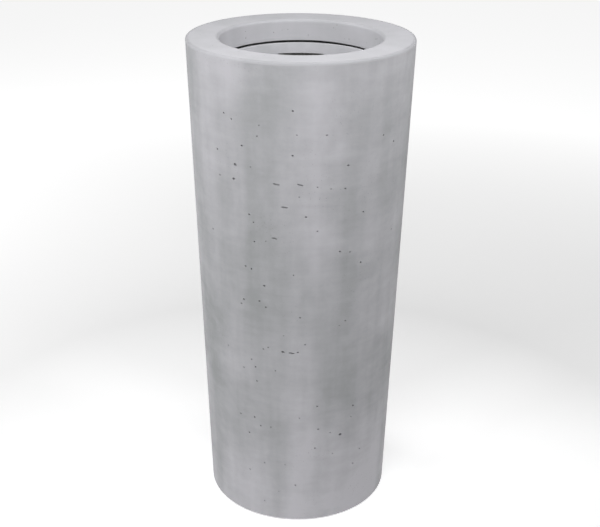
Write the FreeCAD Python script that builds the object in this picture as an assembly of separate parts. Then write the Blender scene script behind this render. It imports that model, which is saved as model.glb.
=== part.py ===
import FreeCAD, Part
import math
import os

# A tall round planter in glass-fibre laminate with a cast-concrete look.
#
# The tapered shell and the rim moulding are laid up apart and bonded, so the shelf that
# carries the planting liner can go in between. The liner stands on the shelf just under
# the rim's collar and lifts out by two hand grips. Rubber bungs close the drain holes of
# the liner and of the shell.
#
# Millimetres. The origin is the centre of the footprint at floor level, +Z is up, and the
# liner's hand grips face along +Y and -Y.

# Outer form
total_height = 1000.0  # floor to the top of the rim
top_diameter = 450.0  # outside of the rim
foot_diameter = 385.0  # outside of the foot
opening_diameter = 320.0  # clear mouth inside the collar

# Shell
wall = 5.0  # laminate of the tapered wall, measured level
base_thickness = 6.0  # laminate of the foot ring and of the bottom
foot_ring_width = 43.0  # flat ring that stands on the pads
base_rise = 14.0  # how far the bottom is raised above the foot ring
foot_edge_radius = 4.0  # outside lower edge
inner_corner_radius = 8.0  # corners inside a laminate moulding
drain_diameter = 25.0  # hole in the middle of the bottom

# Rim moulding
rim_thickness = 6.0  # flat top
rim_edge_radius = 4.0  # outside upper edge
mouth_edge_radius = 6.0  # upper edge of the mouth
collar_depth = 45.0  # top of the rim to the lower edge of the collar
collar_wall = 5.0
spigot_depth = 24.0  # flange that plugs into the top of the shell
spigot_wall = 4.0
trimmed_edge_radius = 1.2  # lower edge of the collar and of the spigot
bond_gap = 0.3  # filled resin joint between bonded faces

# Liner
liner_height = 300.0
liner_clearance = 3.0  # between the liner's top and the mouth, all round
liner_drop = 2.5  # open line between the collar and the top of the liner
liner_taper = 18.0  # how much smaller the radius is at the liner's bottom
liner_wall = 4.0
liner_floor = 5.0
liner_edge_radius = 1.5
liner_drain_diameter = 25.0
grip_width = 98.0  # hand grip, along X
grip_height = 28.0
grip_below_edge = 20.5  # top of the liner to the top of the grip
grip_corner_radius = 3.0

# Shelf and its cleats
shelf_thickness = 8.0
shelf_clearance = 1.0  # between the shelf's edge and the wall
shelf_edge_radius = 1.5
shelf_center_diameter = 64.0  # hole under the liner's bung
shelf_hole_diameter = 24.0
shelf_hole_circle_diameter = 330.0
shelf_hole_count = 4
cleat_count = 4
cleat_width = 70.0
cleat_height = 40.0
cleat_depth = 24.0  # from the wall inwards, at the cleat's top

# Rubber bungs and pads
bung_clearance = 0.3  # between a bung's stem and its hole
bung_flange_overlap = 7.0  # how far the flange reaches past the hole
bung_flange_thickness = 3.5
bung_stem_past_floor = 5.0  # how far the stem comes out on the far side
bung_stem_taper = 1.2
bung_edge_radius = 1.0
tab_width = 16.0
tab_height = 10.0
tab_thickness = 4.0
tab_hole_diameter = 6.0
pad_diameter = 34.0
pad_thickness = 2.0
pad_edge_radius = 0.8
pad_count = 4

# Levels and radii that follow from the sizes above
foot_level = pad_thickness
base_underside = foot_level + base_rise
base_top = base_underside + base_thickness
seat_level = total_height - rim_thickness
collar_bottom = total_height - collar_depth
spigot_bottom = seat_level - spigot_depth
liner_top = collar_bottom - liner_drop
liner_bottom = liner_top - liner_height
liner_floor_top = liner_bottom + liner_floor
shelf_top = liner_bottom
shelf_bottom = shelf_top - shelf_thickness
cleat_bottom = shelf_bottom - cleat_height
foot_radius = foot_diameter / 2
mouth_radius = opening_diameter / 2
raised_base_radius = foot_radius - foot_ring_width
liner_top_radius = mouth_radius - liner_clearance
liner_bottom_radius = liner_top_radius - liner_taper

Z_AXIS = FreeCAD.Vector(0, 0, 1)
ORIGIN = FreeCAD.Vector(0, 0, 0)


def outside_radius(level):
    """Radius of the planter's outside at a level."""
    share = (level - foot_level) / (total_height - foot_level)
    return foot_radius + share * (top_diameter / 2 - foot_radius)


def inside_radius(level):
    """Radius of the inside of the shell's wall at a level."""
    return outside_radius(level) - wall


def rounded_corner(before, corner, after, radius):
    """Start, middle and end of the arc that rounds one corner of an outline."""
    to_before = (before - corner).normalize()
    to_after = (after - corner).normalize()
    half_angle = to_before.getAngle(to_after) / 2
    reach = radius / math.tan(half_angle)
    inwards = (to_before + to_after).normalize()
    middle = corner + inwards * (radius / math.sin(half_angle) - radius)
    return corner + to_before * reach, middle, corner + to_after * reach


def outline(corners):
    """Closed wire in the XZ plane from (x, z) or (x, z, rounding) corners."""
    points = [FreeCAD.Vector(corner[0], 0, corner[1]) for corner in corners]
    starts = []
    ends = []
    arcs = []
    for index, corner in enumerate(corners):
        start = end = points[index]
        if len(corner) == 3:
            before = points[index - 1]
            after = points[(index + 1) % len(points)]
            start, middle, end = rounded_corner(before, points[index], after, corner[2])
            arcs.append(Part.Arc(start, middle, end).toShape())
        else:
            arcs.append(None)
        starts.append(start)
        ends.append(end)
    edges = []
    for index in range(len(points)):
        if arcs[index] is not None:
            edges.append(arcs[index])
        following = (index + 1) % len(points)
        edges.append(Part.LineSegment(ends[index], starts[following]).toShape())
    return Part.Wire(edges)


def turned(corners):
    """Solid of revolution about the planter's axis."""
    solid = Part.Face(outline(corners)).revolve(ORIGIN, Z_AXIS, 360)
    if solid.Volume < 0:
        solid.reverse()
    return solid


def upright_hole(diameter, low, high, x=0.0, y=0.0):
    """Cylinder that cuts a round hole past both faces of a floor."""
    margin = 1.0
    height = high - low + 2 * margin
    return Part.makeCylinder(diameter / 2, height, FreeCAD.Vector(x, y, low - margin))


def polar_copies(solid, count, first_angle):
    """Equal solids spaced evenly about the planter's axis."""
    copies = []
    for index in range(count):
        copy = solid.copy()
        copy.rotate(ORIGIN, Z_AXIS, first_angle + index * 360 / count)
        copies.append(copy)
    return copies


def make_body_shell():
    """Tapered wall, foot ring and raised bottom, laid up in one mould."""
    wall_top = seat_level - bond_gap
    ring_top = foot_level + base_thickness
    step_radius = raised_base_radius + base_thickness
    corner = min(inner_corner_radius, base_rise / 2)
    shell = turned(
        [
            (0, base_underside),
            (raised_base_radius, base_underside, corner / 2),
            (raised_base_radius, foot_level, min(foot_edge_radius, base_thickness) / 2),
            (foot_radius, foot_level, foot_edge_radius),
            (outside_radius(wall_top), wall_top),
            (inside_radius(wall_top), wall_top),
            (inside_radius(ring_top), ring_top, corner),
            (step_radius, ring_top, corner / 2),
            (step_radius, base_top, corner),
            (0, base_top),
        ]
    )
    return shell.cut(upright_hole(drain_diameter, base_underside, base_top))


def make_rim_ring():
    """Flat rim with the collar round the mouth and the spigot that enters the shell."""
    spigot_top_radius = inside_radius(seat_level) - bond_gap
    spigot_bottom_radius = inside_radius(spigot_bottom) - bond_gap
    trim = min(trimmed_edge_radius, collar_wall / 3, spigot_wall / 3)
    return turned(
        [
            (outside_radius(seat_level), seat_level),
            (top_diameter / 2, total_height, rim_edge_radius),
            (mouth_radius, total_height, mouth_edge_radius),
            (mouth_radius, collar_bottom, trim),
            (mouth_radius + collar_wall, collar_bottom, trim),
            (mouth_radius + collar_wall, seat_level, trim),
            (spigot_top_radius - spigot_wall, seat_level, trim),
            (spigot_bottom_radius - spigot_wall, spigot_bottom, trim),
            (spigot_bottom_radius, spigot_bottom, trim),
            (spigot_top_radius, seat_level),
        ]
    )


def make_shelf_plate():
    """Fixed shelf under the liner, with drain holes and room for the liner's bung."""
    radius = inside_radius(shelf_bottom) - shelf_clearance
    edge = min(shelf_edge_radius, shelf_thickness / 3)
    plate = turned(
        [
            (0, shelf_bottom),
            (radius, shelf_bottom, edge),
            (radius, shelf_top, edge),
            (0, shelf_top),
        ]
    )
    plate = plate.cut(upright_hole(shelf_center_diameter, shelf_bottom, shelf_top))
    hole = upright_hole(
        shelf_hole_diameter, shelf_bottom, shelf_top, shelf_hole_circle_diameter / 2
    )
    for copy in polar_copies(hole, shelf_hole_count, 180 / shelf_hole_count):
        plate = plate.cut(copy)
    return plate


def make_shelf_cleats():
    """Blocks bonded to the inside of the wall, one group, with the shelf on top."""
    outer_low = inside_radius(cleat_bottom) - bond_gap
    outer_high = inside_radius(shelf_bottom) - bond_gap
    inner = outer_high - cleat_depth
    block = Part.makeBox(
        cleat_depth * 2,
        cleat_width,
        cleat_height,
        FreeCAD.Vector(inner, -cleat_width / 2, cleat_bottom),
    )
    cavity = Part.makeCone(
        outer_low, outer_high, cleat_height, FreeCAD.Vector(0, 0, cleat_bottom)
    )
    cleat = block.common(cavity)
    return Part.makeCompound(polar_copies(cleat, cleat_count, 0))


def grip_cutter():
    """Bar with rounded corners that cuts both hand grips of the liner."""
    top = liner_top - grip_below_edge
    bottom = top - grip_height
    half = grip_width / 2
    corner = min(grip_corner_radius, grip_height / 3)
    section = outline(
        [
            (-half, bottom, corner),
            (half, bottom, corner),
            (half, top, corner),
            (-half, top, corner),
        ]
    )
    reach = liner_top_radius + liner_wall
    section.translate(FreeCAD.Vector(0, -reach, 0))
    return Part.Face(section).extrude(FreeCAD.Vector(0, 2 * reach, 0))


def make_liner():
    """Tapered planting pot with two hand grips and a drain hole."""
    edge = min(liner_edge_radius, liner_wall / 3)
    floor_share = liner_floor / liner_height
    floor_radius = liner_bottom_radius + floor_share * liner_taper - liner_wall
    pot = turned(
        [
            (0, liner_bottom),
            (liner_bottom_radius, liner_bottom, inner_corner_radius),
            (liner_top_radius, liner_top, edge),
            (liner_top_radius - liner_wall, liner_top, edge),
            (floor_radius, liner_floor_top, inner_corner_radius),
            (0, liner_floor_top),
        ]
    )
    pot = pot.cut(grip_cutter())
    return pot.cut(upright_hole(liner_drain_diameter, liner_bottom, liner_floor_top))


def pull_tab(low):
    """Upright tab with a round top and a finger hole, rising from a level."""
    half = tab_width / 2
    straight = FreeCAD.Vector(0, 0, low + tab_height - half)
    plate = Part.makeBox(
        tab_width, tab_thickness, tab_height - half, FreeCAD.Vector(-half, 0, low)
    )
    along = FreeCAD.Vector(0, 1, 0)
    plate = plate.fuse(Part.makeCylinder(half, tab_thickness, straight, along))
    plate = plate.cut(
        Part.makeCylinder(tab_hole_diameter / 2, tab_thickness, straight, along)
    )
    plate.translate(FreeCAD.Vector(0, -tab_thickness / 2, 0))
    corner = FreeCAD.Vector(-half, -tab_thickness / 2, low - tab_width)
    return plate.cut(Part.makeBox(tab_width, tab_thickness, tab_width, corner))


def make_bung(hole_diameter, floor_thickness):
    """Rubber bung standing in a hole, with its flange on the level z = 0."""
    stem_radius = hole_diameter / 2 - bung_clearance
    stem_length = floor_thickness + bung_stem_past_floor
    flange_radius = hole_diameter / 2 + bung_flange_overlap
    edge = min(bung_edge_radius, bung_flange_thickness / 3)
    bung = turned(
        [
            (0, -stem_length),
            (stem_radius - bung_stem_taper, -stem_length, edge),
            (stem_radius, -floor_thickness),
            (stem_radius, 0),
            (flange_radius, 0),
            (flange_radius, bung_flange_thickness, edge),
            (0, bung_flange_thickness),
        ]
    )
    return bung.fuse(pull_tab(bung_flange_thickness)).removeSplitter()


def make_liner_plug():
    """Bung in the liner's floor, pulled up from inside."""
    bung = make_bung(liner_drain_diameter, liner_floor)
    bung.translate(FreeCAD.Vector(0, 0, liner_floor_top))
    return bung


def make_drain_plug():
    """Bung in the shell's bottom, pulled down from below."""
    bung = make_bung(drain_diameter, base_thickness)
    bung.rotate(ORIGIN, FreeCAD.Vector(1, 0, 0), 180)
    bung.translate(FreeCAD.Vector(0, 0, base_underside))
    return bung


def make_foot_pads():
    """Rubber pads stuck under the foot ring, one group."""
    edge = min(pad_edge_radius, pad_thickness / 3)
    pad = turned(
        [
            (0, 0),
            (pad_diameter / 2, 0, edge),
            (pad_diameter / 2, pad_thickness),
            (0, pad_thickness),
        ]
    )
    pad.translate(FreeCAD.Vector(foot_radius - foot_ring_width / 2, 0, 0))
    return Part.makeCompound(polar_copies(pad, pad_count, 180 / pad_count))


NODES = {
    "body_shell": make_body_shell,
    "rim_ring": make_rim_ring,
    "shelf_plate": make_shelf_plate,
    "shelf_cleats": make_shelf_cleats,
    "liner": make_liner,
    "liner_plug": make_liner_plug,
    "drain_plug": make_drain_plug,
    "foot_pads": make_foot_pads,
}

os.makedirs("parts", exist_ok=True)
for name, make in NODES.items():
    make().exportStep(f"parts/{name}.step")
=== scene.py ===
import bpy
import math
import random
from mathutils import Matrix, Vector


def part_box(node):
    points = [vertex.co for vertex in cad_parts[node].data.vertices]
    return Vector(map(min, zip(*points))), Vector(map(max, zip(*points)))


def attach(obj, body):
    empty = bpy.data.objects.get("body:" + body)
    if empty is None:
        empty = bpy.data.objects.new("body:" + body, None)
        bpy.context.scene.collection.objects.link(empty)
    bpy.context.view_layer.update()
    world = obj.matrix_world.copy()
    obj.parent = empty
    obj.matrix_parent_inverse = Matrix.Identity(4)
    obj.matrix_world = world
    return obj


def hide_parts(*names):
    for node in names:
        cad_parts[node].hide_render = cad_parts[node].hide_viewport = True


# Looks of a tall round planter in glass-fibre laminate with a cast-concrete coat.
# Metres, +Z up, origin at the middle of the footprint. The photograph looks along +Y.

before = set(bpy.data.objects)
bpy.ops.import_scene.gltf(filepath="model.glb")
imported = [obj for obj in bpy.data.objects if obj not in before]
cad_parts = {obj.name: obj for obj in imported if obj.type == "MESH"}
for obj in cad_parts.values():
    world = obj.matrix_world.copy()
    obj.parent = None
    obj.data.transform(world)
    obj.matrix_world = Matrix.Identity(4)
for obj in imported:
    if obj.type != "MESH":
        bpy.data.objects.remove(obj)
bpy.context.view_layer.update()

# ---------------------------------------------------------------- sizes
# Levels come from the frame. The other sizes repeat those of the solids, except where noted.

SHELL_LOW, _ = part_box("body_shell")
RIM_LOW, RIM_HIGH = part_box("rim_ring")
LINER_LOW, LINER_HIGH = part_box("liner")

TOP_LEVEL = RIM_HIGH.z
TOP_RADIUS = 0.225
FOOT_LEVEL = SHELL_LOW.z
FOOT_RADIUS = 0.1925
MOUTH_RADIUS = 0.160
WALL = 0.005
BASE_THICKNESS = 0.006
BASE_RISE = 0.014
FOOT_RING_WIDTH = 0.043
RAISED_BASE_RADIUS = FOOT_RADIUS - FOOT_RING_WIDTH
DRAIN_RADIUS = 0.0125
RIM_THICKNESS = 0.006
COLLAR_LEVEL = RIM_LOW.z
COLLAR_WALL = 0.005
SPIGOT_DEPTH = 0.024
SPIGOT_WALL = 0.004
BOND_GAP = 0.0003
RIM_EDGE_RADIUS = 0.004
MOUTH_EDGE_RADIUS = 0.006
FOOT_EDGE_RADIUS = 0.004
TRIM_RADIUS = 0.0012
TRIM_REACH = 0.02  # height over which the collar's wavy lower edge fades out
INNER_CORNER_RADIUS = 0.007  # 1 mm less than in the solids
HAIR = 0.00005  # kept between faces of two bodies that lie on each other

LINER_CLEARANCE = 0.003
LINER_TAPER = 0.018
LINER_TOP_RADIUS = MOUTH_RADIUS - LINER_CLEARANCE
LINER_BOTTOM_RADIUS = LINER_TOP_RADIUS - LINER_TAPER
LINER_WALL = 0.004
LINER_FLOOR = 0.005
LINER_EDGE_RADIUS = 0.0013  # 0.03 mm less than in the solids
LINER_CORNER_RADIUS = 0.008
GRIP_BELOW_EDGE = 0.0216  # 1.1 mm more than in the solids, as the photograph's sliver is thin
GRIP_HEIGHT = 0.028
GRIP_WIDTH = 0.098
GRIP_TOP = LINER_HIGH.z - GRIP_BELOW_EDGE
GRIP_BOTTOM = GRIP_TOP - GRIP_HEIGHT

SKIN_COLUMNS = 300  # columns of cells round the shell and the rim
LINER_COLUMNS = 236
CELL = 0.0046  # height of a cell where voids are cut
COARSE_CELL = 0.03  # and where the surface is plain

# ---------------------------------------------------------------- camera of the photograph
# Fitted to the ellipses of the rim, the mouth and the foot.

PHOTO_WIDTH = 600
PHOTO_HEIGHT = 527
FOCAL_PIXELS = 1143.3
CAMERA_PLACE = Vector((0.0, -2.2186, 1.4804))
CAMERA_PITCH = 0.41001
CAMERA_ROLL = 0.00800
CAMERA_YAW = 0.00078
SENSOR_WIDTH = 36.0

CAMERA_TURN = (
    Matrix.Rotation(-CAMERA_YAW, 3, "Z")
    @ Matrix.Rotation(math.pi / 2 - CAMERA_PITCH, 3, "X")
    @ Matrix.Rotation(CAMERA_ROLL, 3, "Z")
)


def make_camera():
    """Camera that sees the planter as the photograph does."""
    data = bpy.data.cameras.new("photo_camera")
    data.sensor_width = SENSOR_WIDTH
    data.lens = SENSOR_WIDTH * FOCAL_PIXELS / PHOTO_WIDTH
    camera = bpy.data.objects.new("photo_camera", data)
    bpy.context.scene.collection.objects.link(camera)
    camera.matrix_world = Matrix.Translation(CAMERA_PLACE) @ CAMERA_TURN.to_4x4()
    bpy.context.scene.camera = camera


def sight_line(px, py):
    """Direction from the camera through a pixel of the photograph."""
    across = (px - PHOTO_WIDTH / 2) / FOCAL_PIXELS
    up = -(py - PHOTO_HEIGHT / 2) / FOCAL_PIXELS
    return CAMERA_TURN @ Vector((across, up, -1.0))


def outside_radius(level):
    """Radius of the tapered side at a level."""
    share = (level - FOOT_LEVEL) / (TOP_LEVEL - FOOT_LEVEL)
    return FOOT_RADIUS + share * (TOP_RADIUS - FOOT_RADIUS)


def pixel_on_cone(px, py, low, high, far):
    """Angle and height where a pixel's sight line meets a cone between two (r, z) points."""
    slope = (high[0] - low[0]) / (high[1] - low[1])
    base = low[0] + slope * (CAMERA_PLACE.z - low[1])
    d = sight_line(px, py)
    c = CAMERA_PLACE
    a2 = d.x**2 + d.y**2 - (slope * d.z) ** 2
    a1 = 2 * (c.x * d.x + c.y * d.y - base * slope * d.z)
    a0 = c.x**2 + c.y**2 - base**2
    root = math.sqrt(max(a1 * a1 - 4 * a2 * a0, 0.0))
    t = (-a1 + root if far else -a1 - root) / (2 * a2)
    hit = c + t * d
    return math.atan2(hit.y, hit.x), hit.z


# ---------------------------------------------------------------- turned meshes

COAT_SLOT, RAW_SLOT, VOID_SLOT = 0, 1, 2  # material slots of a turned mesh


class Profile:
    """Closed outline of (radius, height) corners, turned about the Z axis.

    A corner is (radius, height, rounding, cell, material): rounding may be 0, cell is the
    spacing of the rows on the stretch that follows, and material is that stretch's index.
    """

    ARC_STEPS = 5
    SMOOTH_LIMIT = math.radians(42)

    def __init__(self, corners):
        self.rows = []
        self.materials = []
        self.stretches = []
        points = [Vector((c[0], c[1])) for c in corners]
        count = len(points)
        ends = []
        for index, (_, _, radius, _, _) in enumerate(corners):
            ends.append(self.rounding(points[index - 1], points[index],
                                      points[(index + 1) % count], radius))
        for index, (_, _, _, cell, material) in enumerate(corners):
            arc = ends[index]
            for point in arc[:-1]:
                self.rows.append(point)
                self.materials.append(material)
            start = arc[-1]
            stop = ends[(index + 1) % count][0]
            steps = 1
            if cell:
                steps = max(1, round((stop - start).length / cell))
            first = len(self.rows)
            for step in range(steps):
                self.rows.append(start.lerp(stop, step / steps))
                self.materials.append(material)
            self.stretches.append((first, steps, start, stop))
        self.count = len(self.rows)
        self.normals = []
        for k in range(self.count):
            run = self.rows[(k + 1) % self.count] - self.rows[k]
            self.normals.append(Vector((run.y, -run.x)).normalized())

    def rounding(self, before, corner, after, radius):
        """Points of the arc that rounds a corner, or the corner itself."""
        if not radius:
            return [corner]
        back = (before - corner).normalized()
        ahead = (after - corner).normalized()
        half = back.angle(ahead) / 2
        reach = radius / math.tan(half)
        start = corner + back * reach
        stop = corner + ahead * reach
        centre = corner + (back + ahead).normalized() * (radius / math.sin(half))
        points = []
        for step in range(self.ARC_STEPS + 1):
            share = step / self.ARC_STEPS
            spoke = (start - centre).slerp(stop - centre, share)
            points.append(centre + spoke.normalized() * radius)
        return points

    def corner_normal(self, band, row):
        """Normal on a band at one of its two rows, blended with the next band if smooth."""
        own = self.normals[band]
        other = self.normals[row - 1] if row == band else self.normals[row % self.count]
        if own.angle(other) > self.SMOOTH_LIMIT:
            return own
        return (own + other).normalized()


class Turned:
    """Mesh of a profile turned about Z, with openings and pits."""

    PIT_ROOM = 1.2  # room kept round a pit, as a share of its size
    PIT_MARGIN = 0.0005
    PIT_SPOKES = 14
    PIT_RINGS = ((1.0, 0.0), (0.93, 0.5), (0.72, 0.85), (0.38, 1.0))  # (width, depth) shares
    PIT_BOTTOM = 1.02

    def __init__(self, profile, columns, warp=None):
        self.profile = profile
        self.columns = columns
        self.step = 2 * math.pi / columns
        self.warp = warp
        self.used = set()
        self.verts = []
        self.faces = []
        self.normals = []
        self.materials = []
        for i in range(columns):
            for row in profile.rows:
                self.verts.append(self.place(row, i * self.step))

    def place(self, row, angle):
        """Point of the surface at a (radius, height) row and an angle."""
        z = row.y
        if self.warp:
            z += self.warp(row.x, row.y, angle)
        return Vector((row.x * math.cos(angle), row.x * math.sin(angle), z))

    def grid(self, i, k):
        """Index of the vertex at column i and row k."""
        return (i % self.columns) * self.profile.count + k % self.profile.count

    def spun(self, normal, angle):
        """A (radial, upward) normal of the profile, turned to an angle."""
        return Vector((normal.x * math.cos(angle), normal.x * math.sin(angle), normal.y))

    def add_face(self, corners, normals, material):
        self.faces.append(corners)
        self.normals.append(normals)
        self.materials.append(material)

    def opening(self, first_column, columns, outer_band, bands, inner_band):
        """Sharp-cornered rectangular hole through a wall, with its four reveals."""
        for i in range(first_column, first_column + columns):
            for step in range(bands):
                self.used.add((i % self.columns, outer_band + step))
                self.used.add((i % self.columns, inner_band + step))
        low_out, high_out = outer_band, outer_band + bands
        high_in, low_in = inner_band, inner_band + bands
        for i in range(first_column, first_column + columns):
            self.reveal(self.grid(i, high_out), self.grid(i + 1, high_out),
                        self.grid(i + 1, high_in), self.grid(i, high_in), Vector((0, 0, -1)))
            self.reveal(self.grid(i, low_out), self.grid(i + 1, low_out),
                        self.grid(i + 1, low_in), self.grid(i, low_in), Vector((0, 0, 1)))
        last = first_column + columns
        for column, sign in ((first_column, 1), (last, -1)):
            angle = column * self.step
            facing = Vector((-math.sin(angle), math.cos(angle), 0)) * sign
            for step in range(bands):
                self.reveal(self.grid(column, low_out + step),
                            self.grid(column, low_out + step + 1),
                            self.grid(column, low_in - step - 1),
                            self.grid(column, low_in - step), facing)

    def reveal(self, a, b, c, d, facing):
        """One face inside an opening, wound so that it faces the given way."""
        corners = [a, b, c, d]
        pa, pb, pd = self.verts[a], self.verts[b], self.verts[d]
        if (pb - pa).cross(pd - pa).dot(facing) < 0:
            corners.reverse()
        self.add_face(corners, [facing] * 4, self.profile.materials[0])

    def pit(self, stretch, angle, along, half_width, half_height, depth, tilt, chance):
        """Air void with a sharp, uneven lip, nudged a little if its cells are taken."""
        radius = self.profile.stretches[stretch][2].x
        for reach in (0.0, 0.5, 1.0):
            for turn in range(4 if reach else 1):
                aside = reach * CELL * math.cos(turn * math.pi / 2)
                up = reach * CELL * math.sin(turn * math.pi / 2)
                if self.try_pit(stretch, angle + aside / radius, along + up, half_width,
                                half_height, depth, tilt, chance):
                    return True
        return False

    def try_pit(self, stretch, angle, along, half_width, half_height, depth, tilt, chance):
        """Cuts the void, or returns False if its cells are taken."""
        first, steps, start, stop = self.profile.stretches[stretch]
        length = (stop - start).length
        cell = length / steps
        radius = start.lerp(stop, along / length).x
        across = self.PIT_ROOM * math.hypot(half_width * math.cos(tilt),
                                            half_height * math.sin(tilt))
        upward = self.PIT_ROOM * math.hypot(half_width * math.sin(tilt),
                                            half_height * math.cos(tilt))
        i0 = math.floor((angle - (across + self.PIT_MARGIN) / radius) / self.step)
        i1 = math.ceil((angle + (across + self.PIT_MARGIN) / radius) / self.step)
        j0 = math.floor((along - upward - self.PIT_MARGIN) / cell)
        j1 = math.ceil((along + upward + self.PIT_MARGIN) / cell)
        if j0 < 0 or j1 > steps:
            return False
        cells = {(i % self.columns, first + j) for i in range(i0, i1) for j in range(j0, j1)}
        if cells & self.used:
            return False
        self.used |= cells
        edge = [(i, j0) for i in range(i0, i1)] + [(i1, j) for j in range(j0, j1)]
        edge += [(i, j1) for i in range(i1, i0, -1)] + [(i0, j) for j in range(j1, j0, -1)]
        outer = []
        for i, j in edge:
            x = (i * self.step - angle) * radius
            y = j * cell - along
            outer.append((math.atan2(y, x) % (2 * math.pi), self.grid(i, first + j)))
        outer.sort()
        outward = self.profile.normals[first]
        lobes = [(chance.uniform(0.03, 0.13), chance.uniform(0, 2 * math.pi), n)
                 for n in (2, 3, 5)]

        def lip(direction):
            turned = direction - tilt
            oval = half_width * half_height / math.hypot(
                half_height * math.cos(turned), half_width * math.sin(turned))
            return oval * (1 + sum(a * math.sin(n * direction + p) for a, p, n in lobes))

        def spot(x, y, sunk):
            here = start.lerp(stop, (along + y) / length)
            row = Vector((here.x, here.y)) - outward * sunk
            return self.place(row, angle + x / radius)

        spokes = {2 * math.pi * n / self.PIT_SPOKES + 0.01 for n in range(self.PIT_SPOKES)}
        marks = sorted({mark for mark, _ in outer} | spokes)
        lean = Vector((chance.uniform(-0.15, 0.15), chance.uniform(-0.05, 0.2)))
        rings = []
        for scale, sunk in self.PIT_RINGS:
            ring = []
            for mark in marks:
                reach = lip(mark) * scale
                x = reach * math.cos(mark) + lean.x * half_width * (1 - scale)
                y = reach * math.sin(mark) + lean.y * half_height * (1 - scale)
                ring.append(len(self.verts))
                self.verts.append(spot(x, y, sunk * depth))
            rings.append(ring)
        middle = len(self.verts)
        self.verts.append(spot(lean.x * half_width, lean.y * half_height,
                               depth * self.PIT_BOTTOM))
        self.skin_round_pit(outer, marks, rings[0], outward, self.profile.materials[first])
        self.line_pit(rings, middle)
        return True

    def skin_round_pit(self, outer, marks, lip_ring, outward, material):
        """The skin between the edge of the cells taken and the pit's lip."""
        total = len(marks)
        where = {mark: n for n, mark in enumerate(marks)}
        for n, (mark, vertex) in enumerate(outer):
            next_mark, next_vertex = outer[(n + 1) % len(outer)]
            inner = [where[mark]]
            while marks[inner[-1]] != next_mark:
                inner.append((inner[-1] + 1) % total)
            switch = len(inner) // 2
            for m in range(len(inner) - 1):
                hub = vertex if m < switch else next_vertex
                if m == switch:
                    self.skin_triangle((vertex, next_vertex, lip_ring[inner[m]]),
                                       outward, material)
                self.skin_triangle((hub, lip_ring[inner[m + 1]], lip_ring[inner[m]]),
                                   outward, material)
            if switch >= len(inner) - 1:
                self.skin_triangle((vertex, next_vertex, lip_ring[inner[-1]]),
                                   outward, material)

    def line_pit(self, rings, middle):
        """The hollow of a pit, with soft normals of its own."""
        total = len(rings[0])
        hollow = []
        for upper, lower in zip(rings, rings[1:]):
            for n in range(total):
                m = (n + 1) % total
                hollow.append((upper[n], upper[m], lower[m], lower[n]))
        for n in range(total):
            hollow.append((rings[-1][n], rings[-1][(n + 1) % total], middle))
        sums = {}
        for face in hollow:
            a, b, c = (self.verts[v] for v in face[:3])
            facing = (b - a).cross(c - a)
            for v in face:
                sums[v] = sums.get(v, Vector((0, 0, 0))) + facing
        for face in hollow:
            # The hollow takes the void slot, whose darker grey is painted shade.
            self.add_face(face, [sums[v].normalized() for v in face], VOID_SLOT)

    def skin_triangle(self, corners, outward, material):
        """One triangle of skin, with the normals of the surface that it lies in."""
        normals = []
        for v in corners:
            point = self.verts[v]
            normals.append(self.spun(outward, math.atan2(point.y, point.x)))
        self.add_face(corners, normals, material)

    def finish(self, name, materials):
        """Adds the cells that nothing has taken and makes the object."""
        profile = self.profile
        for i in range(self.columns):
            for k in range(profile.count):
                if (i, k) in self.used:
                    continue
                a0, a1 = i * self.step, (i + 1) * self.step
                low = profile.corner_normal(k, k)
                high = profile.corner_normal(k, k + 1)
                self.add_face(
                    (self.grid(i, k), self.grid(i + 1, k),
                     self.grid(i + 1, k + 1), self.grid(i, k + 1)),
                    [self.spun(low, a0), self.spun(low, a1),
                     self.spun(high, a1), self.spun(high, a0)],
                    profile.materials[k],
                )
        mesh = bpy.data.meshes.new(name)
        mesh.from_pydata(self.verts, [], self.faces)
        for slot in materials:
            mesh.materials.append(slot)
        mesh.polygons.foreach_set("material_index", self.materials)
        mesh.polygons.foreach_set("use_smooth", [True] * len(self.faces))
        mesh.normals_split_custom_set([n for face in self.normals for n in face])
        mesh.update()
        piece = bpy.data.objects.new(name, mesh)
        bpy.context.scene.collection.objects.link(piece)
        return piece


# ---------------------------------------------------------------- materials


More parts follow.
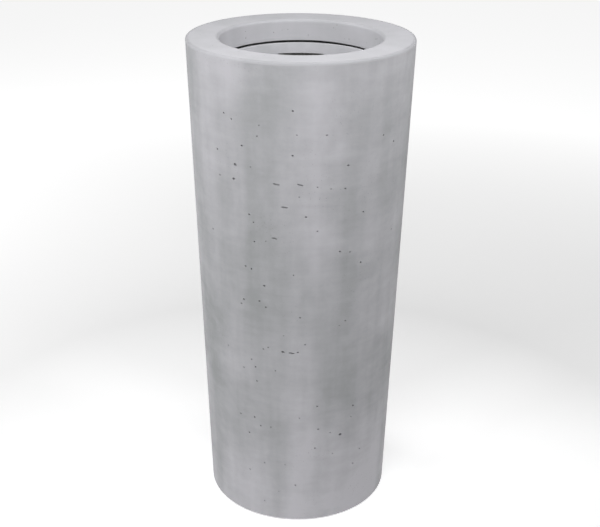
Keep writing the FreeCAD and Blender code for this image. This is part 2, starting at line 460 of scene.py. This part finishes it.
class Shader:
    """Small helper that wires a procedural material in the object's own coordinates."""

    def __init__(self, name):
        self.material = bpy.data.materials.new(name)
        self.material.use_nodes = True
        self.tree = self.material.node_tree
        self.surface = self.tree.nodes["Principled BSDF"]
        self.place = self.node("ShaderNodeTexCoord").outputs["Object"]

    def node(self, kind, **settings):
        """A new node with some of its settings."""
        made = self.tree.nodes.new(kind)
        for key, value in settings.items():
            setattr(made, key, value)
        return made

    def put(self, value, socket):
        """Links a socket to another one, or sets its value."""
        if isinstance(value, bpy.types.NodeSocket):
            self.tree.links.new(value, socket)
        else:
            socket.default_value = value

    def stretched(self, scale):
        """The object's coordinates, scaled apart along X, Y and Z."""
        mapping = self.node("ShaderNodeMapping")
        self.put(self.place, mapping.inputs["Vector"])
        mapping.inputs["Scale"].default_value = scale
        return mapping.outputs["Vector"]

    def noise(self, scale, detail=4.0, roughness=0.5, distortion=0.0, vector=None):
        """Cloudy noise from 0 to 1."""
        made = self.node("ShaderNodeTexNoise")
        self.put(vector or self.place, made.inputs["Vector"])
        made.inputs["Scale"].default_value = scale
        made.inputs["Detail"].default_value = detail
        made.inputs["Roughness"].default_value = roughness
        made.inputs["Distortion"].default_value = distortion
        return made.outputs["Fac"]

    def cells(self, scale):
        """Distance to the nearest of many scattered points."""
        made = self.node("ShaderNodeTexVoronoi", feature="F1")
        self.put(self.place, made.inputs["Vector"])
        made.inputs["Scale"].default_value = scale
        return made.outputs["Distance"]

    def math(self, operation, a, b=0.0, clamp=False):
        """Sum, product or the like of two numbers."""
        made = self.node("ShaderNodeMath", operation=operation, use_clamp=clamp)
        self.put(a, made.inputs[0])
        self.put(b, made.inputs[1])
        return made.outputs[0]

    def span(self, value, low, high, to_low=0.0, to_high=1.0):
        """Maps low to high onto to_low to to_high, and holds it at both ends."""
        made = self.node("ShaderNodeMapRange", clamp=True)
        for name, item in (("Value", value), ("From Min", low), ("From Max", high),
                           ("To Min", to_low), ("To Max", to_high)):
            self.put(item, made.inputs[name])
        return made.outputs["Result"]

    def blend(self, amount, a, b):
        """Mix of two colours."""
        made = self.node("ShaderNodeMix", data_type="RGBA")
        self.put(amount, made.inputs["Factor"])
        self.put(a, made.inputs[6])
        self.put(b, made.inputs[7])
        return made.outputs[2]

    def bump(self, height, strength, distance, below=None):
        """Fine relief, on top of the relief below it."""
        made = self.node("ShaderNodeBump")
        made.inputs["Strength"].default_value = strength
        made.inputs["Distance"].default_value = distance
        self.put(height, made.inputs["Height"])
        if below is not None:
            self.put(below, made.inputs["Normal"])
        return made.outputs["Normal"]

    def painted_shade_on_rim_edges(self, colour, share):
        """Painted shade on the rim's edges: the outer edge is brought down to the side's grey,
        and a band on the mouth's rounded edge is darker, dulling the highlights there.
        """
        flat = self.node("ShaderNodeVectorMath", operation="MULTIPLY")
        self.put(self.place, flat.inputs[0])
        flat.inputs[1].default_value = (1.0, 1.0, 0.0)
        length = self.node("ShaderNodeVectorMath", operation="LENGTH")
        self.put(flat.outputs["Vector"], length.inputs[0])
        radius = length.outputs["Value"]
        outer = self.span(radius, TOP_RADIUS - 0.008, TOP_RADIUS - 0.0015, 1.0, share)
        mouth_edge_shade = self.span(radius, MOUTH_RADIUS + 0.0002, MOUTH_RADIUS + 0.0020, 1.0, 0.91)
        outward = self.span(radius, MOUTH_RADIUS + 0.0040, MOUTH_RADIUS + 0.0075, 0.91, 1.0)
        edge_shade = self.math("MULTIPLY", outer, self.math("MAXIMUM", mouth_edge_shade, outward))
        scaled = self.node("ShaderNodeVectorMath", operation="SCALE")
        self.put(colour, scaled.inputs[0])
        self.put(edge_shade, scaled.inputs["Scale"])
        return scaled.outputs["Vector"]

    def weighted(self, parts):
        """Sum of (value - 0.5) * weight, for layers of unevenness."""
        total = 0.0
        for value, weight in parts:
            offset = self.math("MULTIPLY", self.math("SUBTRACT", value, 0.5), weight)
            total = self.math("ADD", offset, total)
        return total


def grey(level, tint=(1.0, 1.0, 1.0)):
    return (level * tint[0], level * tint[1], level * tint[2], 1.0)


COOL = (0.985, 1.012, 1.030)  # tint of the darker grey
MILKY = (1.0, 0.985, 1.045)  # tint of the paler grey


def concrete(name, level, shine=0.62, contrast=1.0, shaded_edge_level=None):
    """Cast-concrete coat: cloudy, faintly streaked from top to bottom, with fine pores.

    Level is its grey, and shaded_edge_level that of the outer edge, if it has another one; that
    darker edge is painted shade.
    """
    s = Shader(name)
    clouds = s.noise(5.2, 5.0, 0.55, 0.3)
    smudges = s.noise(15.0, 4.0, 0.58, 0.6)
    streaks = s.noise(1.0, 3.0, 0.5, vector=s.stretched((17.0, 17.0, 1.4)))
    ripples = s.noise(1.0, 2.0, 0.5, vector=s.stretched((14.0, 14.0, 70.0)))
    grain = s.noise(230.0, 4.0, 0.65)
    mottle = s.noise(75.0, 4.0, 0.6)
    tone = s.weighted([(clouds, 1.35), (smudges, 0.44), (streaks, 1.10), (ripples, 0.28),
                       (mottle, 0.12), (grain, 0.10)])
    tone = s.math("MULTIPLY", tone, contrast)
    # Painted light: paler towards the top and the foot than halfway up, mostly standing in for
    # light from above and bounce from the floor, partly the coat's own tone.
    height = s.node("ShaderNodeSeparateXYZ")
    s.put(s.place, height.inputs[0])
    level_up = height.outputs["Z"]
    painted_light_top_foot = s.math("MAXIMUM", s.span(level_up, 0.60, 0.86, 0.0, 0.22),
                   s.span(level_up, 0.32, 0.03, 0.0, 0.44))
    lightness = s.math("ADD", s.math("ADD", tone, painted_light_top_foot), 0.36, clamp=True)
    colour = s.blend(lightness, grey(level * 0.78, COOL), grey(level * 1.20, MILKY))
    # Fine pores: small dark dots, thick in some places and absent in others. Their dark grey is
    # painted shade inside the pores, which the bump also sinks.
    dots = s.span(s.cells(150.0), 0.10, 0.17, 1.0, 0.0)
    crowd = s.span(s.noise(9.0, 3.0, 0.5), 0.50, 0.66)
    shaded_pores = s.math("MULTIPLY", dots, crowd)
    colour = s.blend(s.math("MULTIPLY", shaded_pores, 0.45), colour, grey(level * 0.50, COOL))
    # Pale bloom of lime in soft patches.
    bloom = s.span(s.noise(4.2, 7.0, 0.66, 0.9), 0.56, 0.74, 0.0, 0.30)
    colour = s.blend(bloom, colour, grey(level * 1.24, MILKY))
    # Painted shade on the rim's outer edge and on a band of the mouth's rounded edge.
    if shaded_edge_level:
        colour = s.painted_shade_on_rim_edges(colour, shaded_edge_level / level)
    s.put(colour, s.surface.inputs["Base Color"])
    rough = s.span(s.math("ADD", tone, s.math("MULTIPLY", mottle, 0.4)), -0.2, 0.6,
                   shine + 0.10, shine - 0.10)
    s.put(rough, s.surface.inputs["Roughness"])
    s.surface.inputs["Specular IOR Level"].default_value = 0.28
    broad = s.bump(s.noise(13.0, 3.0, 0.5), 0.40, 0.0018)
    fine = s.bump(s.math("SUBTRACT", grain, s.math("MULTIPLY", shaded_pores, 1.6)), 0.25, 0.0003, broad)
    s.put(s.bump(mottle, 0.20, 0.0004, fine), s.surface.inputs["Normal"])
    return s.material


def laminate(name, level):
    """Raw back of the laminate: chopped glass strands under uneven resin."""
    s = Shader(name)
    warp = s.noise(30.0, 2.0, 0.5, 2.0)
    strands = s.noise(1.0, 3.0, 0.7, 3.0, s.stretched((120.0, 30.0, 120.0)))
    crossing = s.noise(1.0, 3.0, 0.7, 3.0, s.stretched((30.0, 120.0, 60.0)))
    web = s.math("MAXIMUM", strands, crossing)
    fibres = s.span(web, 0.52, 0.66)
    pools = s.noise(8.0, 5.0, 0.6)
    colour = s.blend(fibres, (level * 0.86, level * 0.88, level * 0.80, 1.0),
                     (level * 1.12, level * 1.13, level * 1.07, 1.0))
    colour = s.blend(s.span(pools, 0.45, 0.70, 0.0, 0.5), colour,
                     (level * 0.74, level * 0.74, level * 0.64, 1.0))
    s.put(colour, s.surface.inputs["Base Color"])
    s.put(s.span(pools, 0.35, 0.65, 0.62, 0.34), s.surface.inputs["Roughness"])
    first = s.bump(web, 0.6, 0.0006)
    s.put(s.bump(warp, 0.4, 0.0012, first), s.surface.inputs["Normal"])
    return s.material


def rubber(name):
    """Black moulded rubber with a little dust and fine grain."""
    s = Shader(name)
    grain = s.noise(900.0, 3.0, 0.6)
    dust = s.noise(60.0, 6.0, 0.65)
    worn = s.span(dust, 0.48, 0.72, 0.0, 0.45)
    colour = s.blend(worn, (0.018, 0.018, 0.019, 1.0), (0.085, 0.083, 0.078, 1.0))
    s.put(colour, s.surface.inputs["Base Color"])
    s.put(s.span(dust, 0.35, 0.65, 0.52, 0.78), s.surface.inputs["Roughness"])
    s.put(s.bump(grain, 0.35, 0.00015), s.surface.inputs["Normal"])
    return s.material


def floor_material():
    """Pale floor that gives off light of its own, least at a middle distance."""
    s = Shader("pale_floor")
    distance = s.node("ShaderNodeVectorMath", operation="LENGTH")
    s.put(s.place, distance.inputs[0])
    away = distance.outputs["Value"]
    near_glow = s.span(away, 0.2, 0.9, 0.42, 0.17)
    far_glow = s.span(away, 0.9, 3.0, 0.0, 0.62)
    s.surface.inputs["Emission Color"].default_value = (1.0, 1.0, 1.0, 1.0)
    s.put(s.math("ADD", near_glow, far_glow), s.surface.inputs["Emission Strength"])
    s.put(s.blend(s.noise(2.0, 3.0), (0.90, 0.90, 0.90, 1.0), (0.92, 0.92, 0.92, 1.0)),
          s.surface.inputs["Base Color"])
    s.surface.inputs["Roughness"].default_value = 0.9
    s.surface.inputs["Specular IOR Level"].default_value = 0.1
    return s.material


# ---------------------------------------------------------------- pieces

# Painted light: the rim and the side are one coat, but the rim's grey is set higher than the
# side's, so that both match in this light.
COAT_LEVEL = 0.322
PAINTED_LIGHT_RIM_LEVEL = 0.455
# Painted shade: the rim's outer edge is brought down close to the side's grey.
RIM_EDGE_SHADE_LEVEL = COAT_LEVEL * 1.08
LINER_LEVEL = 0.47
LAMINATE_LEVEL = 0.40
VOID_SHADE_LEVEL = 0.235

COAT = concrete("concrete_coat", COAT_LEVEL, 0.66, 1.25)
RIM_COAT_PAINTED_LIGHT = concrete("rim_coat_painted_light", PAINTED_LIGHT_RIM_LEVEL, 0.80, 0.45, RIM_EDGE_SHADE_LEVEL)
LINER_COAT = concrete("liner_coat", LINER_LEVEL, 0.70, 0.9)
RAW = laminate("raw_laminate", LAMINATE_LEVEL)
RUBBER = rubber("black_rubber")
# Painted shade: the inside of the air voids has a darker grey than the coat.
VOID = concrete("void_inside_painted_shade", VOID_SHADE_LEVEL, 0.80)

# Air voids that show in the photograph, read in two enlarged crops of it. A reading
# is x and y in the crop's pixels; a corner is the crop's top left in the photograph's.
CROP_SCALE = 5.807
UPPER_CROP_CORNER = (170, 90)
LOWER_CROP_CORNER = (170, 300)
UPPER_SMALL_VOIDS = (
    (312, 132), (356, 168), (517, 205), (505, 268), (417, 323), (275, 342), (713, 122),
    (737, 262), (912, 262), (1240, 262), (1298, 297), (712, 382), (467, 447), (290, 492),
    (857, 565), (1036, 437), (1018, 572), (935, 575), (750, 622), (790, 738), (485, 768),
    (460, 722), (250, 805), (856, 820), (490, 880), (557, 878), (987, 938), (1045, 940),
    (440, 1022), (473, 1038), (717, 1076), (548, 1137), (430, 1215), (520, 1225), (1107, 1000),
    (1285, 807), (1122, 707),
)
LOWER_SMALL_VOIDS = (
    (755, 103), (983, 148), (1018, 120), (660, 208), (340, 262), (570, 275), (543, 284),
    (728, 304), (785, 260), (475, 344), (430, 390), (497, 388), (612, 411), (505, 470),
    (855, 618), (1062, 612), (752, 686), (1050, 677), (412, 658), (492, 679), (528, 730),
    (586, 738), (462, 768), (860, 750), (930, 770), (841, 861), (943, 890), (1100, 862),
    (550, 945), (668, 957), (465, 982), (1060, 947), (728, 1075), (632, 1110), (550, 1165),
    (415, 18), (557, 42),
)
UPPER_LARGE_VOIDS = ((378, 432), (370, 515))
LOWER_LARGE_VOIDS = ((663, 303), (987, 780))
UPPER_LONG_VOIDS = ((614, 548), (757, 553), (607, 862), (663, 682))
LOWER_LONG_VOIDS = ((705, 309),)
# On the collar they were read in the photograph's own pixels.
COLLAR_VOIDS = ((337, 25), (349, 39), (376, 39))

# Groups of voids that were read: upper and lower readings, and the ranges of half width,
# height by width, and tilt that each void's own values are drawn from.
VOID_GROUPS = (
    (UPPER_LONG_VOIDS, LOWER_LONG_VOIDS, (0.0068, 0.0088), (0.16, 0.24), (-0.26, -0.10)),
    (UPPER_LARGE_VOIDS, LOWER_LARGE_VOIDS, (0.0030, 0.0038), (0.60, 0.85), (-0.35, 0.10)),
    (UPPER_SMALL_VOIDS, LOWER_SMALL_VOIDS, (0.0014, 0.0022), (0.60, 0.90), (-0.35, 0.10)),
)
DEEPEST_VOID = 0.0028
SCATTERED_VOIDS = 230  # tried all round; those that face the photograph's camera are left out
COLLAR_SPECKS = 26
RIM_SPECKS = 16
SHELL_SEED = 8
RIM_SEED = 21


def in_photo(corner, readings):
    """Readings in an enlarged crop, in the photograph's pixels."""
    return [(corner[0] + x / CROP_SCALE, corner[1] + y / CROP_SCALE) for x, y in readings]


def shell_profile():
    """Outline of the shell: raised bottom, foot ring, tapered side and the wall's inside."""
    seat = TOP_LEVEL - RIM_THICKNESS
    ring_top = FOOT_LEVEL + BASE_THICKNESS
    underside = FOOT_LEVEL + BASE_RISE + HAIR
    floor = underside + BASE_THICKNESS
    step = RAISED_BASE_RADIUS + BASE_THICKNESS
    return Profile([
        (DRAIN_RADIUS, underside, 0, COARSE_CELL, 1),
        (RAISED_BASE_RADIUS, underside, INNER_CORNER_RADIUS / 2, 0, 1),
        (RAISED_BASE_RADIUS, FOOT_LEVEL, 0.002, 0.012, 0),
        (FOOT_RADIUS, FOOT_LEVEL, FOOT_EDGE_RADIUS, CELL, 0),
        (outside_radius(seat), seat, 0, 0, 1),
        (outside_radius(seat) - WALL, seat, 0, COARSE_CELL, 1),
        (outside_radius(ring_top) - WALL, ring_top, INNER_CORNER_RADIUS, 0, 1),
        (step, ring_top, INNER_CORNER_RADIUS / 2, 0, 1),
        (step, floor, INNER_CORNER_RADIUS, COARSE_CELL, 1),
        (DRAIN_RADIUS, floor, 0, 0, 1),
    ])


SHELL_SIDE = 3  # the stretch of shell_profile that is the planter's side


def random_void(chance):
    """Half width, half height, depth and tilt of one air void, in metres and radians."""
    if chance.random() < 0.13:
        half_width = chance.uniform(0.0032, 0.0060)
        half_height = half_width * chance.uniform(0.30, 0.50)
    else:
        half_width = chance.uniform(0.0010, 0.0026)
        half_height = half_width * chance.uniform(0.60, 0.95)
    depth = min(half_height * chance.uniform(0.9, 1.5), DEEPEST_VOID)
    return half_width, half_height, depth, chance.uniform(-0.35, 0.15)


def make_shell():
    """The shell with its coat: voids where the photograph shows them, others elsewhere."""
    profile = shell_profile()
    shell = Turned(profile, SKIN_COLUMNS)
    chance = random.Random(SHELL_SEED)
    _, _, low, high = profile.stretches[SHELL_SIDE]
    length = (high - low).length
    for upper, lower, widths, flatness, tilts in VOID_GROUPS:
        for px, py in in_photo(UPPER_CROP_CORNER, upper) + in_photo(LOWER_CROP_CORNER, lower):
            angle, z = pixel_on_cone(px, py, low, high, far=False)
            half_width = chance.uniform(*widths)
            half_height = half_width * chance.uniform(*flatness)
            depth = min(half_height * chance.uniform(1.0, 1.5), DEEPEST_VOID)
            along = (z - low.y) / (high.y - low.y) * length
            shell.pit(SHELL_SIDE, angle, along, half_width, half_height, depth,
                      chance.uniform(*tilts), chance)
    for _ in range(SCATTERED_VOIDS):
        angle = chance.uniform(0, 2 * math.pi)
        along = chance.uniform(0.03, 0.90) * length
        facing_photo = math.cos(angle + math.pi / 2)
        wanted = random_void(chance)
        if facing_photo > 0.1:
            continue
        shell.pit(SHELL_SIDE, angle, along, *wanted, chance)
    piece = shell.finish("shell_with_coat", [COAT, RAW, VOID])
    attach(piece, "planter")
    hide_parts("body_shell")


def collar_trim(radius, z, angle):
    """Rise of the collar's hand-trimmed lower edge: more at the back, less on the right."""
    if radius > MOUTH_RADIUS + 2 * COLLAR_WALL or z > COLLAR_LEVEL + TRIM_REACH:
        return 0.0
    share = 1 - max(0.0, z - COLLAR_LEVEL) / TRIM_REACH
    wave = 0.0022 * max(0.0, math.sin(angle)) ** 2 - 0.0004 * math.cos(angle) - 0.0017
    wave += 0.00015 * math.sin(5 * angle + 1.0)
    wave += 0.0001 * math.sin(11 * angle)
    return share * wave


def make_rim():
    """The flat rim with its collar and spigot."""
    seat = TOP_LEVEL - RIM_THICKNESS
    spigot_top = outside_radius(seat) - WALL - BOND_GAP
    spigot_low = seat - SPIGOT_DEPTH
    spigot_bottom = outside_radius(spigot_low) - WALL - BOND_GAP
    back = MOUTH_RADIUS + COLLAR_WALL
    profile = Profile([
        (outside_radius(seat), seat, 0, 0.002, 0),
        (TOP_RADIUS, TOP_LEVEL, RIM_EDGE_RADIUS, CELL, 0),
        (MOUTH_RADIUS, TOP_LEVEL, MOUTH_EDGE_RADIUS, CELL, 0),
        (MOUTH_RADIUS, COLLAR_LEVEL, TRIM_RADIUS, 0, 0),
        (back, COLLAR_LEVEL, TRIM_RADIUS, 0.01, 1),
        (back, seat, TRIM_RADIUS, 0, 1),
        (spigot_top - SPIGOT_WALL, seat, TRIM_RADIUS, 0, 1),
        (spigot_bottom - SPIGOT_WALL, spigot_low, TRIM_RADIUS, 0, 1),
        (spigot_bottom, spigot_low, TRIM_RADIUS, 0, 1),
        (spigot_top, seat, 0, 0, 1),
    ])
    rim = Turned(profile, SKIN_COLUMNS, collar_trim)
    chance = random.Random(RIM_SEED)
    top_stretch, collar_stretch = 1, 2
    _, _, start, stop = profile.stretches[collar_stretch]
    collar_length = (stop - start).length
    for px, py in COLLAR_VOIDS:
        angle, z = pixel_on_cone(px, py, (MOUTH_RADIUS, COLLAR_LEVEL),
                                 (MOUTH_RADIUS, TOP_LEVEL), far=True)
        half = chance.uniform(0.0010, 0.0016)
        rim.pit(collar_stretch, angle, start.y - z, half, half * 0.8, half, 0.0, chance)
    for _ in range(COLLAR_SPECKS):
        half = chance.uniform(0.0006, 0.0012)
        rim.pit(collar_stretch, chance.uniform(0, 2 * math.pi),
                chance.uniform(0.1, 0.9) * collar_length, half, half * 0.8, half, 0.0, chance)
    _, _, start, stop = profile.stretches[top_stretch]
    for _ in range(RIM_SPECKS):
        half = chance.uniform(0.0005, 0.0010)
        rim.pit(top_stretch, chance.uniform(0, 2 * math.pi),
                chance.uniform(0.05, 0.95) * (stop - start).length,
                half, half * 0.8, half * 0.8, 0.0, chance)
    piece = rim.finish("rim_with_coat", [RIM_COAT_PAINTED_LIGHT, RAW, VOID])
    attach(piece, "planter")
    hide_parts("rim_ring")


def make_liner():
    """The lift-out liner with its two hand grips."""
    top = LINER_HIGH.z
    low = LINER_LOW.z + HAIR
    floor = LINER_LOW.z + LINER_FLOOR - HAIR

    def outer(z):
        share = (z - low) / (top - low)
        return LINER_BOTTOM_RADIUS + share * (LINER_TOP_RADIUS - LINER_BOTTOM_RADIUS)

    def inner(z):
        return outer(z) - LINER_WALL

    profile = Profile([
        (DRAIN_RADIUS, low, 0, COARSE_CELL, 0),
        (LINER_BOTTOM_RADIUS, low, LINER_CORNER_RADIUS, 0.02, 0),
        (outer(GRIP_BOTTOM), GRIP_BOTTOM, 0, 0.014, 0),
        (outer(GRIP_TOP), GRIP_TOP, 0, 0.011, 0),
        (LINER_TOP_RADIUS, top, LINER_EDGE_RADIUS, 0, 0),
        (LINER_TOP_RADIUS - LINER_WALL, top, LINER_EDGE_RADIUS, 0.011, 0),
        (inner(GRIP_TOP), GRIP_TOP, 0, 0.014, 0),
        (inner(GRIP_BOTTOM), GRIP_BOTTOM, 0, 0.02, 0),
        (inner(floor), floor, LINER_CORNER_RADIUS, COARSE_CELL, 0),
        (DRAIN_RADIUS, floor, 0, 0, 0),
    ])
    liner = Turned(profile, LINER_COLUMNS)
    grip_outer, grip_inner = 2, 6
    middle = (GRIP_TOP + GRIP_BOTTOM) / 2
    half_angle = math.asin(GRIP_WIDTH / 2 / outer(middle))
    half_columns = round(half_angle / liner.step)
    bands = profile.stretches[grip_outer][1]
    for quarter in (1, 3):
        first = quarter * LINER_COLUMNS // 4 - half_columns
        liner.opening(first, 2 * half_columns, profile.stretches[grip_outer][0], bands,
                      profile.stretches[grip_inner][0])
    piece = liner.finish("liner_with_coat", [LINER_COAT])
    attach(piece, "liner")
    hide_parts("liner")


def dress_nodes():
    """Materials for the pieces that keep their own solids."""
    for node, material in (("shelf_plate", RAW), ("shelf_cleats", RAW), ("liner_plug", RUBBER),
                           ("drain_plug", RUBBER), ("foot_pads", RUBBER)):
        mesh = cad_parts[node].data
        for index in range(len(mesh.materials)):
            mesh.materials[index] = material


# ---------------------------------------------------------------- studio


def area_light(name, place, target, width, height, watts):
    """White soft light that points at a target."""
    data = bpy.data.lights.new(name, "AREA")
    data.shape = "RECTANGLE"
    data.size = width
    data.size_y = height
    data.energy = watts
    light = bpy.data.objects.new(name, data)
    bpy.context.scene.collection.objects.link(light)
    light.location = place
    light.rotation_euler = (Vector(target) - Vector(place)).to_track_quat("-Z", "Y").to_euler()


FLOOR_REACH = 30.0
AIR_GLOW = 0.12


def make_studio():
    """Floor, air and lights. The lights' powers were fitted to the photograph's brightness."""
    half = FLOOR_REACH
    corners = [(-half, -half, 0), (half, -half, 0), (half, half, 0), (-half, half, 0)]
    mesh = bpy.data.meshes.new("floor")
    mesh.from_pydata(corners, [], [(0, 1, 2, 3)])
    mesh.materials.append(floor_material())
    floor = bpy.data.objects.new("floor", mesh)
    bpy.context.scene.collection.objects.link(floor)
    world = bpy.data.worlds.new("studio_air")
    world.use_nodes = True
    air = world.node_tree.nodes["Background"]
    air.inputs["Color"].default_value = (1.0, 1.0, 1.0, 1.0)
    air.inputs["Strength"].default_value = AIR_GLOW
    bpy.context.scene.world = world
    area_light("left_back", (-2.3, 1.0, 2.0), (0, 0, 0.6), 1.4, 1.4, 28)
    area_light("front", (0.0, -1.1, 2.0), (0, 0, 0.95), 0.8, 0.8, 6.5)
    area_light("steep_front", (0.0, -0.75, 2.3), (0, 0, 1.0), 0.6, 0.6, 7.6)
    area_light("front_right", (1.1, -0.9, 1.8), (0, 0, 0.9), 0.7, 0.7, 10.5)
    area_light("front_left", (-1.1, -0.9, 1.8), (0, 0, 0.9), 0.7, 0.7, 13.5)
    area_light("side_right", (1.35, 0.1, 1.75), (0, 0, 1.0), 0.7, 0.7, 7.5)
    area_light("foot_left", (-1.0, -1.1, 0.12), (0, 0, 0.12), 0.9, 0.2, 3.5)
    bpy.context.scene.view_settings.view_transform = "Standard"


make_shell()
make_rim()
make_liner()
dress_nodes()
make_studio()
make_camera()
